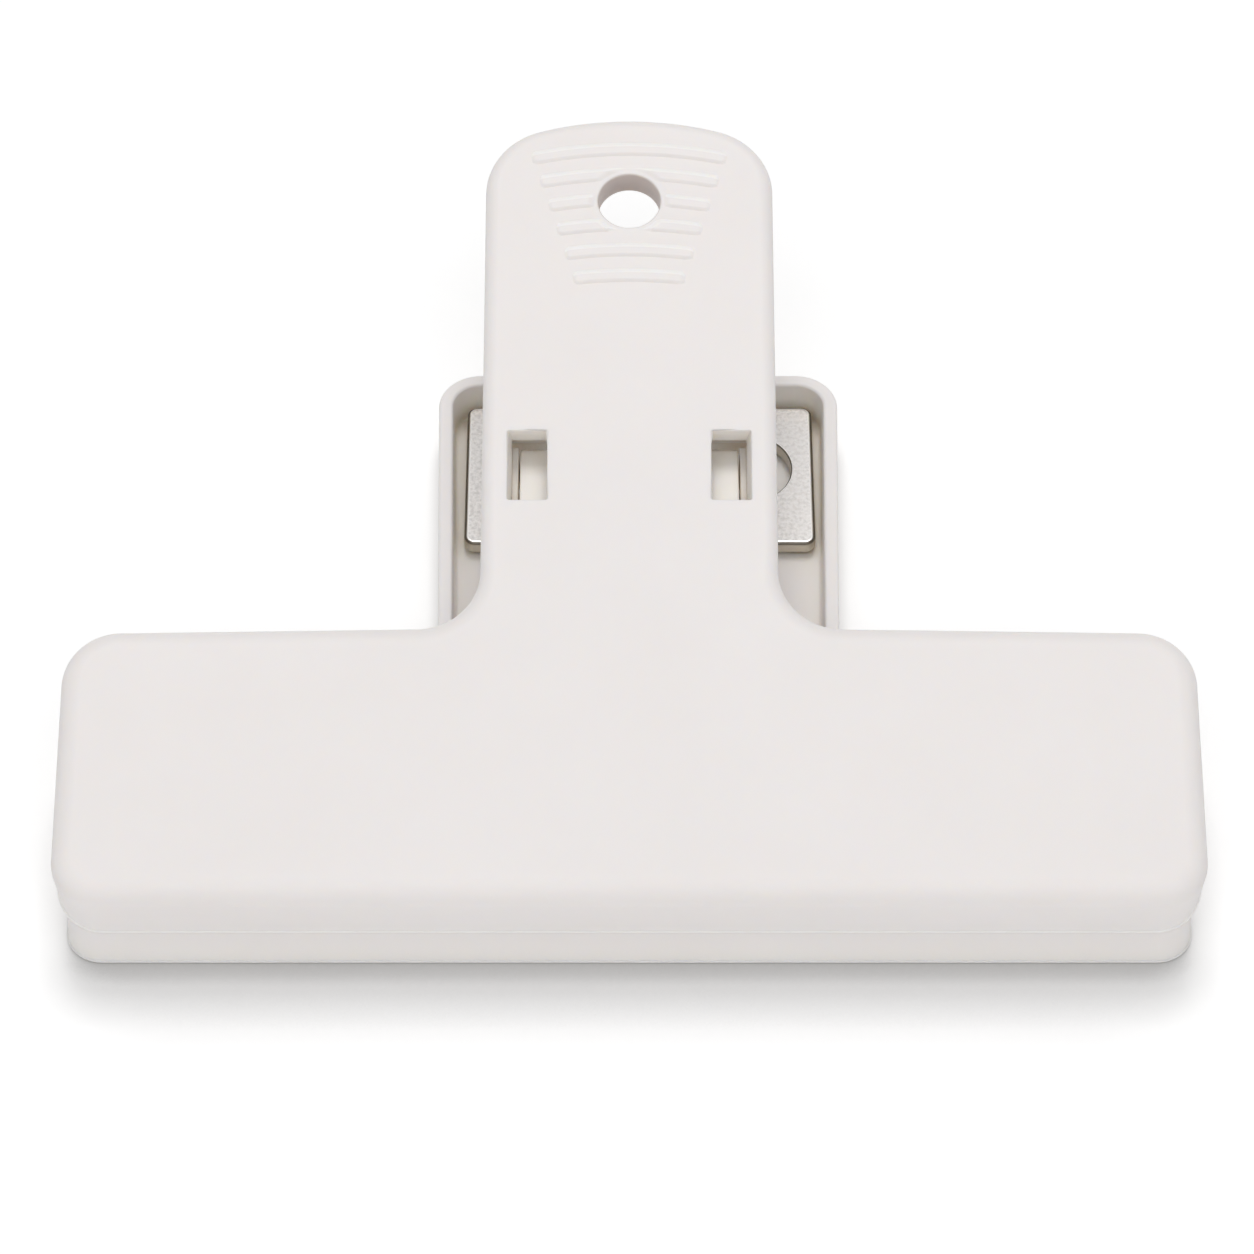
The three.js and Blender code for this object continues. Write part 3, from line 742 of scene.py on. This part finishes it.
def finish_mesh(piece, place=None):
    """Puts the mesh in place, cleans it and shades it so that flat faces stay flat."""
    mesh = piece.data
    if place is not None:
        mesh.transform(place)
    shape = bmesh.new()
    shape.from_mesh(mesh)
    bmesh.ops.remove_doubles(shape, verts=shape.verts, dist=TINY)
    bmesh.ops.dissolve_degenerate(shape, edges=shape.edges, dist=TINY)
    shape.to_mesh(mesh)
    shape.free()
    mesh.shade_smooth()
    mesh.set_sharp_from_angle(angle=SHARP_ANGLE)
    weighted = piece.modifiers.new("weighted", "WEIGHTED_NORMAL")
    weighted.keep_sharp = True
    graph = bpy.context.evaluated_depsgraph_get()
    piece.data = bpy.data.meshes.new_from_object(piece.evaluated_get(graph))
    piece.modifiers.clear()
    level_broad_faces(piece.data)


def level_broad_faces(mesh):
    """Gives the corners on a broad flat face that face's own normal, so that its shade is even."""
    broad = {}
    for face in mesh.polygons:
        if face.area > BROAD_FACE:
            broad.update({vertex: face.normal.copy() for vertex in face.vertices})
    normals = [Vector(corner.vector) for corner in mesh.corner_normals]
    for face in mesh.polygons:
        for corner in face.loop_indices:
            level = broad.get(mesh.loops[corner].vertex_index)
            if level is not None and level.angle(face.normal) < SHARP_ANGLE:
                normals[corner] = level
    mesh.normals_split_custom_set(normals)


def dress(piece, material, node, body=None):
    """Gives a piece its material, hides the CAD node that it stands for and, if a body is given, attaches
    the piece to it.
    """
    piece.data.materials.clear()
    piece.data.materials.append(material)
    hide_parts(node)
    if body is not None:
        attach(piece, body)


# Front moulding

def front_corners():
    lean = math.asin((HANDLE_HALF_WIDTH - HANDLE_CORNER) / (HANDLE_END_RADIUS - HANDLE_CORNER))
    apex = HANDLE_LENGTH + HANDLE_END_RADIUS * (1 / math.cos(lean) - 1)
    shoulder = apex - HANDLE_HALF_WIDTH * math.tan(lean)
    back_end = JAW_BACK + (JAW_HALF_WIDTH - HANDLE_HALF_WIDTH) * math.tan(JAW_BACK_FALL)
    right = [
        (JAW_HALF_WIDTH, -JAW_FRONT, JAW_FRONT_CORNER),
        (JAW_HALF_WIDTH, -back_end, JAW_BACK_CORNER),
        (HANDLE_HALF_WIDTH, -JAW_BACK, NECK_ROUND),
        (HANDLE_HALF_WIDTH, shoulder, HANDLE_CORNER),
    ]
    left = [(-x, y, radius) for x, y, radius in reversed(right)]
    return [*right, (0, apex, HANDLE_END_RADIUS), *left]


def front_rim(y):
    return FRONT_RIM_LEVEL + FRONT_RIM_SLOPE * y


def front_edge_round(y):
    share = smooth_step(y, -JAW_BACK, -JAW_BACK + EDGE_ROUND_CHANGE)
    return JAW_EDGE_ROUND + (HANDLE_EDGE_ROUND - JAW_EDGE_ROUND) * share


def front_shell():
    ring = wall_rings(front_corners(), FRONT_WALL)
    rings = []
    for out, drop in quarter(INNER_ROUND, SMALL_ROUND_STEPS)[::-1]:
        rings.append(ring(lambda y: FRONT_WALL + out, lambda y: FRONT_UNDERSIDE - drop))
    for out, drop in quarter(RIM_ROUND, SMALL_ROUND_STEPS):
        rings.append(ring(lambda y: FRONT_WALL - out, lambda y: front_rim(y) + drop))
    for out, drop in quarter(RIM_ROUND, SMALL_ROUND_STEPS)[::-1]:
        rings.append(ring(lambda y: out, lambda y: front_rim(y) + drop))
    rings.append(ring(lambda y: 0, lambda y: front_rim(y) + LEDGE_HEIGHT))
    rings.append(ring(lambda y: LEDGE_DEPTH, lambda y: front_rim(y) + LEDGE_HEIGHT + LEDGE_SLOPE))
    rings.append(ring(lambda y: LEDGE_DEPTH, lambda y: front_rim(y) + 3 * LEDGE_HEIGHT))
    for out, drop in quarter(1, ROUND_STEPS):
        rings.append(ring(
            lambda y: front_edge_round(y) * out,
            lambda y: FRONT_TOP - front_edge_round(y) * drop,
        ))
    return skin("front_shell", rings)


def rib_height(x, y, at, half_angle):
    """The height of a rib's soft cross-section at a point, fading out at its ends and round the hole."""
    centre = Vector((0, at - RIB_ARC_RADIUS))
    spoke = Vector((x, y)) - centre
    angle = math.atan2(spoke.x, spoke.y)
    beyond = max(abs(angle) - half_angle, 0) * RIB_ARC_RADIUS / RIB_FRONT_BASE
    across = spoke.length - RIB_ARC_RADIUS
    across /= RIB_REAR_BASE if across > 0 else RIB_FRONT_BASE
    body = 1 - smooth_step(math.hypot(beyond, across), RIB_CREST, 1)
    from_hole = (Vector((x, y)) - Vector((0, HANG_HOLE_AT))).length
    return RIB_HEIGHT * body * smooth_step(from_hole, RIB_FREE_FROM, RIB_FREE_TO)


def grip_rib(index):
    """One rib as a block whose top swells out of the handle's face."""
    at = HANDLE_LENGTH - RIB_END_MARGIN - index * RIB_PITCH
    half_length = HANDLE_HALF_WIDTH - RIB_SIDE_MARGIN - index * RIB_SHORTENING - RIB_FRONT_BASE
    half_angle = math.asin(half_length / RIB_ARC_RADIUS)
    margin = 1.1 * RIB_REAR_BASE
    reach = half_angle + margin / RIB_ARC_RADIUS
    columns = math.ceil(2 * reach * RIB_ARC_RADIUS / RIB_STEP)
    vertices = []
    for column in range(columns + 1):
        angle = reach * (1 - 2 * column / columns)
        for row in range(RIB_ROWS + 1):
            radius = RIB_ARC_RADIUS + margin * (2 * row / RIB_ROWS - 1)
            x = radius * math.sin(angle)
            y = at - RIB_ARC_RADIUS + radius * math.cos(angle)
            height = rib_height(x, y, at, half_angle)
            vertices.append((x, y, FRONT_TOP - RIB_SUNK + height * (1 + RIB_SUNK / RIB_HEIGHT)))
    top_count = len(vertices)
    vertices += [(x, y, FRONT_TOP - FRONT_PLATE / 2) for x, y, _ in vertices]
    faces = []
    stride = RIB_ROWS + 1
    for column in range(columns):
        for row in range(RIB_ROWS):
            a = column * stride + row
            top = (a, a + 1, a + stride + 1, a + stride)
            faces += [top, tuple(corner + top_count for corner in top)]
    border = list(range(RIB_ROWS))
    border += [column * stride + RIB_ROWS for column in range(columns)]
    border += [columns * stride + RIB_ROWS - row for row in range(RIB_ROWS)]
    border += [(columns - column) * stride for column in range(columns)]
    for i, a in enumerate(border):
        b = border[(i + 1) % len(border)]
        faces.append((a, b, b + top_count, a + top_count))
    return new_object("rib", vertices, faces)


def window_cutter(side):
    """A drafted rectangular tool with a softened upper edge."""
    def ring(z, grow):
        share = min(max((FRONT_TOP - z) / FRONT_PLATE, 0), 1)
        outer = WINDOW_OUTER - WINDOW_DRAFT * share
        corners = [
            (WINDOW_INNER, -WINDOW_HALF_LENGTH, WINDOW_CORNER),
            (outer, -WINDOW_HALF_LENGTH, WINDOW_CORNER),
            (outer, WINDOW_HALF_LENGTH, WINDOW_CORNER),
            (WINDOW_INNER, WINDOW_HALF_LENGTH, WINDOW_CORNER),
        ]
        return [(side * point.x, point.y, z) for point in rounded_outline(corners, -grow)]

    rings = [ring(FRONT_UNDERSIDE - OVERSHOOT, 0), ring(FRONT_UNDERSIDE, 0)]
    for grow, drop in quarter(WINDOW_EDGE, SMALL_ROUND_STEPS):
        rings.append(ring(FRONT_TOP - drop, grow))
    rings.append(ring(FRONT_TOP + OVERSHOOT, WINDOW_EDGE))
    return skin("window", rings)


def hang_hole_cutter():
    profile = hole_profile(HANG_HOLE_RADIUS, HANG_HOLE_EDGE, FRONT_TOP - HANG_HOLE_DEPTH, FRONT_TOP)
    return turned("hang_hole", profile, Matrix.Translation((0, HANG_HOLE_AT, 0)))


def hang_boss():
    """The short sleeve of plastic round the hanging hole, under the front plate."""
    low = FRONT_TOP - HANG_HOLE_DEPTH
    radius = HANG_HOLE_RADIUS + HANG_BOSS_WALL
    profile = [(radius - inset, low + drop) for inset, drop in quarter(RIM_ROUND, SMALL_ROUND_STEPS)[::-1]]
    profile.append((radius, FRONT_UNDERSIDE + FRONT_PLATE / 2))
    return turned("hang_boss", profile, Matrix.Translation((0, HANG_HOLE_AT, 0)))


def front_ear(side):
    radius = BORE_RADIUS + FRONT_EAR_WALL
    flare = radius + FRONT_EAR_FLARE
    root = FRONT_UNDERSIDE + FRONT_PLATE / 2
    corners = [(-radius, -radius, radius), (radius, -radius, radius), (flare, root, 0), (-flare, root, 0)]
    return sided_plate("front_ear", corners, side, FRONT_EAR_INNER, FRONT_EAR_OUTER)


def thrust_pad(side):
    """A low pad on the front ear round the pin, which runs against the rear ear."""
    long, high = THRUST_PAD_HALF_LENGTH, THRUST_PAD_HEIGHT
    corners = [
        (-long, -high, high),
        (long, -high, high),
        (long, high, THRUST_PAD_CORNER),
        (-long, high, THRUST_PAD_CORNER),
    ]
    far = (FRONT_EAR_INNER + FRONT_EAR_OUTER) / 2
    return sided_plate("thrust_pad", corners, side, REAR_EAR_OUTER + THRUST_GAP, far)


def gusset(side):
    near, far = GUSSET_AT, GUSSET_AT + GUSSET_THICKNESS
    low = FRONT_UNDERSIDE - GUSSET_DROP
    high = FRONT_UNDERSIDE + FRONT_PLATE / 2
    corners = [(y, z, GUSSET_CORNER) for y, z in ((near, low), (far, low), (far, high), (near, high))]
    outer = HANDLE_HALF_WIDTH - FRONT_WALL / 2
    return sided_plate("gusset", corners, side, WINDOW_INNER - GUSSET_REACH, outer)


def front_jaw(material):
    piece = front_shell()
    piece.name = "front_moulding"
    combine(piece, hang_boss(), "UNION")
    for index in range(RIB_COUNT):
        combine(piece, grip_rib(index), "UNION")
    for side in (-1, 1):
        for part in (front_ear(side), thrust_pad(side), gusset(side)):
            combine(piece, part, "UNION")
        combine(piece, window_cutter(side), "DIFFERENCE")
    combine(piece, hang_hole_cutter(), "DIFFERENCE")
    combine(piece, bore_cutter(JAW_HALF_WIDTH), "DIFFERENCE")
    finish_mesh(piece, FRONT_PLACE)
    dress(piece, material, "front_jaw", "front")


# Rear moulding

def tray_half_width(y):
    return TRAY_END_HALF_WIDTH - (TRAY_END - y) * math.tan(TRAY_TAPER)


def rear_corners():
    neck = tray_half_width(REAR_JAW_BACK)
    return [
        (REAR_JAW_HALF_WIDTH, REAR_JAW_FRONT, REAR_JAW_CORNER),
        (REAR_JAW_HALF_WIDTH, REAR_JAW_BACK, REAR_JAW_CORNER),
        (TRAY_SHIFT + neck, REAR_JAW_BACK, REAR_NECK_ROUND),
        (TRAY_SHIFT + TRAY_END_HALF_WIDTH, TRAY_END, TRAY_CORNER),
        (TRAY_SHIFT - TRAY_END_HALF_WIDTH, TRAY_END, TRAY_CORNER),
        (TRAY_SHIFT - neck, REAR_JAW_BACK, REAR_NECK_ROUND),
        (-REAR_JAW_HALF_WIDTH, REAR_JAW_BACK, REAR_JAW_CORNER),
        (-REAR_JAW_HALF_WIDTH, REAR_JAW_FRONT, REAR_JAW_CORNER),
    ]


def tray_share(y):
    """From 0 on the jaw to 1 on the tray."""
    return smooth_step(y, REAR_JAW_BACK, REAR_JAW_BACK + TRAY_RAMP_LENGTH)


def rear_rim(y):
    return REAR_JAW_HEIGHT + (TRAY_HEIGHT - REAR_JAW_HEIGHT) * tray_share(y)


def rim_inset(y):
    """The jaw's walls lean inwards towards their rim, and the tray's walls stand upright."""
    return REAR_JAW_LEAN * (1 - tray_share(y))


def rear_shell():
    ring = wall_rings(rear_corners(), REAR_WALL)
    rings = []
    for out, drop in quarter(REAR_BASE_ROUND, SMALL_ROUND_STEPS)[::-1]:
        rings.append(ring(lambda y: out, lambda y: drop))
    rings.append(ring(lambda y: 0, lambda y: LEDGE_HEIGHT))
    rings.append(ring(lambda y: LEDGE_DEPTH, lambda y: LEDGE_HEIGHT + LEDGE_SLOPE))
    for out, drop in quarter(REAR_RIM_ROUND, SMALL_ROUND_STEPS):
        rings.append(ring(lambda y: rim_inset(y) + out, lambda y: rear_rim(y) - drop))
    for out, drop in quarter(REAR_RIM_ROUND, SMALL_ROUND_STEPS)[::-1]:
        rings.append(ring(lambda y: rim_inset(y) + REAR_WALL - out, lambda y: rear_rim(y) - drop))
    for out, drop in quarter(REAR_FLOOR_ROUND, SMALL_ROUND_STEPS):
        foot = REAR_WALL + REAR_DRAFT + out
        rings.append(ring(lambda y: rim_inset(y) + foot, lambda y: REAR_FLOOR + drop))
    return skin("rear_shell", rings)


def thick_floor():
    """The thicker floor of the tray. It turns up softly where it meets the walls."""
    near = tray_half_width(-POCKET_STEP_AT)
    sunk = REAR_WALL / 2
    corners = [
        (TRAY_SHIFT + near, -POCKET_STEP_AT - sunk, sunk),
        (TRAY_SHIFT + TRAY_END_HALF_WIDTH, TRAY_END, TRAY_CORNER),
        (TRAY_SHIFT - TRAY_END_HALF_WIDTH, TRAY_END, TRAY_CORNER),
        (TRAY_SHIFT - near, -POCKET_STEP_AT - sunk, sunk),
    ]
    foot = REAR_WALL + REAR_DRAFT * (TRAY_HEIGHT - TRAY_FLOOR) / (TRAY_HEIGHT - REAR_FLOOR)
    rings = [[(*point, REAR_FLOOR / 2) for point in rounded_outline(corners, sunk)]]
    for out, drop in quarter(TRAY_FLOOR_ROUND, SMALL_ROUND_STEPS):
        rings.append([(*point, TRAY_FLOOR + drop) for point in rounded_outline(corners, foot + out)])
    return skin("thick_floor", rings)


def rear_ear(side):
    root = REAR_FLOOR / 2
    half = REAR_EAR_HALF_LENGTH
    corners = [
        (-half - REAR_EAR_FOOT, root, 0),
        (half, root, 0),
        (half, REAR_EAR_TOP, REAR_EAR_CORNER),
        (-half, REAR_EAR_TOP, REAR_EAR_CORNER),
        (-half, HINGE.z, 0),
    ]
    return sided_plate("rear_ear", corners, side, REAR_EAR_INNER, REAR_EAR_OUTER)


def rear_jaw(material):
    piece = rear_shell()
    piece.name = "rear_moulding"
    combine(piece, thick_floor(), "UNION")
    combine(piece, pocket_cutter(), "DIFFERENCE")
    for side in (-1, 1):
        combine(piece, rear_ear(side), "UNION")
    bore = bore_cutter(TRAY_END_HALF_WIDTH)
    bore.data.transform(Matrix.Translation(HINGE))
    combine(piece, bore, "DIFFERENCE")
    finish_mesh(piece)
    dress(piece, material, "rear_jaw", "rear")


# Magnet plate, its pocket and the pad under it

def magnet_ring(inset, z):
    corners = box_corners(MAGNET_LOW, MAGNET_HIGH, MAGNET_CORNER)
    return [(*point, z) for point in rounded_outline(corners, inset)]


def pocket_cutter():
    """The magnet's outline with a narrow gap and a softened upper edge."""
    rings = [magnet_ring(-POCKET_GAP, REAR_FLOOR)]
    for out, drop in quarter(POCKET_EDGE, SMALL_ROUND_STEPS):
        rings.append(magnet_ring(-POCKET_GAP - out, TRAY_FLOOR - drop))
    rings.append(magnet_ring(-POCKET_GAP - POCKET_EDGE, MAGNET_HIGH.z))
    return skin("pocket", rings)


def magnet_plate(material):
    centre = (MAGNET_LOW + MAGNET_HIGH) / 2
    low, high = MAGNET_LOW, MAGNET_HIGH
    rings = []
    for inset, drop in quarter(MAGNET_EDGE, MAGNET_ROUND_STEPS)[::-1]:
        rings.append(magnet_ring(inset, low.z + drop))
    for inset, drop in quarter(MAGNET_EDGE, MAGNET_ROUND_STEPS):
        rings.append(magnet_ring(inset, high.z - drop))
    piece = skin("magnet_plate", rings)
    hole_at = (high.x - low.x) / 2 - MAGNET_HOLE_MARGIN - MAGNET_HOLE_RADIUS
    profile = hole_profile(MAGNET_HOLE_RADIUS, MAGNET_HOLE_EDGE, low.z, high.z)
    for side in (-1, 1):
        place = Matrix.Translation((centre.x + side * hole_at, centre.y + MAGNET_HOLE_OFFSET, 0))
        combine(piece, turned("magnet_hole", profile, place), "DIFFERENCE")
    finish_mesh(piece)
    dress(piece, material, "magnet", "rear")


def adhesive_pad(material):
    corners = box_corners(PAD_LOW, PAD_HIGH, PAD_CORNER)
    rings = []
    for inset, share in [(PAD_BULGE, 0), (0, 0.3), (0, 0.7), (PAD_BULGE, 1)]:
        z = PAD_LOW.z + (PAD_HIGH.z - PAD_LOW.z) * share
        rings.append([(*point, z) for point in rounded_outline(corners, inset)])
    piece = skin("bonding_pad", rings)
    finish_mesh(piece)
    dress(piece, material, "adhesive_pad", "rear")


# Pin and spring

def hinge_pin(material):
    half = PIN_HIGH.x
    profile = []
    for inset, drop in quarter(PIN_EDGE, SMALL_ROUND_STEPS)[::-1]:
        profile.append((PIN_RADIUS - inset, drop - half))
    for inset, drop in quarter(PIN_EDGE, SMALL_ROUND_STEPS):
        profile.append((PIN_RADIUS - inset, half - drop))
    piece = turned("pin", profile, Matrix.Translation(HINGE) @ ALONG_X)
    finish_mesh(piece)
    dress(piece, material, "hinge_pin", "rear")


def leg(end, corner, side):
    """A leg's tangent angle on the coil, and its points from there to its end, in the YZ plane."""
    angle = math.atan2(corner.y, corner.x) + side * math.acos(COIL_RADIUS / corner.length)
    tangent = COIL_RADIUS * Vector((math.cos(angle), math.sin(angle)))
    along = (corner - tangent).normalized()
    out = (end - corner).normalized()
    turn = math.atan2(along.cross(out), along.dot(out))
    start = corner - along * LEG_BEND * math.tan(abs(turn) / 2)
    left = Vector((-along.y, along.x))
    centre = start + left * math.copysign(LEG_BEND, turn)
    shares = [k / LEG_STEPS for k in range(LEG_STEPS + 1)]
    bend = [centre + Matrix.Rotation(turn * share, 2) @ (start - centre) for share in shares]
    straight = [tangent.lerp(start, share) for share in shares[1:-1]]
    return angle, [*straight, *bend, end]


def spring_path():
    """The wire's middle line from the rear leg's end to the front leg's, and half the coil's length."""
    lean = Matrix.Rotation(TILT, 2)
    front_height = FRONT_UNDERSIDE - SPRING_GAP
    front_end = lean @ Vector((FRONT_LEG_REACH, front_height))
    front_corner = lean @ Vector((FRONT_LEG_REACH, front_height - LEG_HOOK))
    front_angle, front_points = leg(front_end, front_corner, 1)
    rear_end = Vector((MAGNET_LOW.y + REAR_LEG_INSET, MAGNET_HIGH.z + SPRING_GAP - HINGE.z))
    rear_angle, rear_points = leg(rear_end, rear_end + Vector((0, LEG_HOOK)), -1)
    between = (rear_angle - front_angle) % FULL_TURN
    turns = COIL_TURNS - 1 if between > math.pi else COIL_TURNS
    sweep = between + FULL_TURN * turns
    half_coil = REAR_EAR_INNER - COIL_END_GAP - WIRE_RADIUS
    steps = math.ceil(sweep / FULL_TURN * COIL_STEPS_PER_TURN)

    def place(x, point):
        return Vector((x, point.x, HINGE.z + point.y))

    coil = []
    for k in range(steps + 1):
        angle = rear_angle - sweep * k / steps
        point = COIL_RADIUS * Vector((math.cos(angle), math.sin(angle)))
        coil.append(place(half_coil * (2 * k / steps - 1), point))
    rear = [place(-half_coil, point) for point in reversed(rear_points)]
    front = [place(half_coil, point) for point in front_points]
    return [*rear, *coil, *front], half_coil


def torsion_spring(material):
    points, half_coil = spring_path()
    rings = []
    tangent = (points[1] - points[0]).normalized()
    normal = Vector((1, 0, 0))
    angles = [FULL_TURN * k / WIRE_SIDES for k in range(WIRE_SIDES)]
    for i, point in enumerate(points):
        before = (point - points[i - 1]).normalized() if i else tangent
        after = (points[i + 1] - point).normalized() if i < len(points) - 1 else before
        heading = (before + after).normalized()
        normal = tangent.rotation_difference(heading) @ normal
        tangent = heading
        across = tangent.cross(normal)
        rings.append([point + WIRE_RADIUS * (math.cos(a) * normal + math.sin(a) * across) for a in angles])
    piece = skin("spring_wire", rings)
    finish_mesh(piece)
    dress(piece, material, "torsion_spring")
    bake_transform(piece)


make_camera()
make_world(strength=0.42)
make_softbox("key", (0, 0.5, 1.6), width=0.6, height=0.6, radiance=7.8)
make_softbox("fore", (0, -0.8, 1.4), width=1.4, height=1.0, radiance=1.35)
make_softbox("front", (0, -1.7, 0.16), width=2.4, height=0.28, radiance=1.95)
make_floor(half_width=2.5, drop=0.1 * MM, lift=0.15)

front_jaw(white_plastic("front_plastic", HINGE, TILT, FRONT_RIM_SLOPE, FRONT_RIM_LEVEL, FRONT_TOP))
rear_jaw(white_plastic("rear_plastic", (0, 0, 0), 0, 0, 0, REAR_EAR_TOP))
magnet_plate(nickel())
adhesive_pad(bonding_pad())
hinge_pin(drawn_steel("pin_steel", (0.62, 0.62, 0.62), (0.05, 1, 1)))
torsion_spring(drawn_steel("spring_steel", (0.56, 0.56, 0.58), (1, 1, 1)))

bpy.context.scene.view_settings.view_transform = "Standard"
